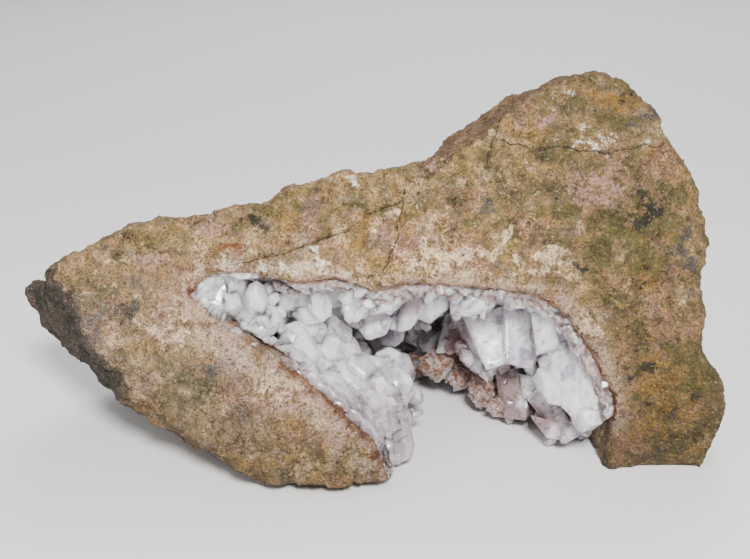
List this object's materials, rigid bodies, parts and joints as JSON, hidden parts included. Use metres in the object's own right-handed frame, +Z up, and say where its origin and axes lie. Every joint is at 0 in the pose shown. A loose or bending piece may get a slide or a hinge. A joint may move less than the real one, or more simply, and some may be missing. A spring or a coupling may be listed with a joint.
{
  "type": "calcite specimen",
  "caption": "Hand specimen of weathered rock with a vug in its front lined by milky calcite crystals; it stands on its own broken base.",
  "frame": {"origin": "centre of the footprint of the whole specimen's box, on the surface it stands on", "axes": "+X along the slab's length towards the high end, +Y back from the crystal-lined front, +Z up"},
  "size_m": [0.1274, 0.0696, 0.0668],
  "materials": {
    "host_rock": "matte",
    "calcite": "satin"
  },
  "bodies": {
    "root": {"host_rock": "host_rock", "calcite_crust": "calcite"}
  },
  "joints": []
}
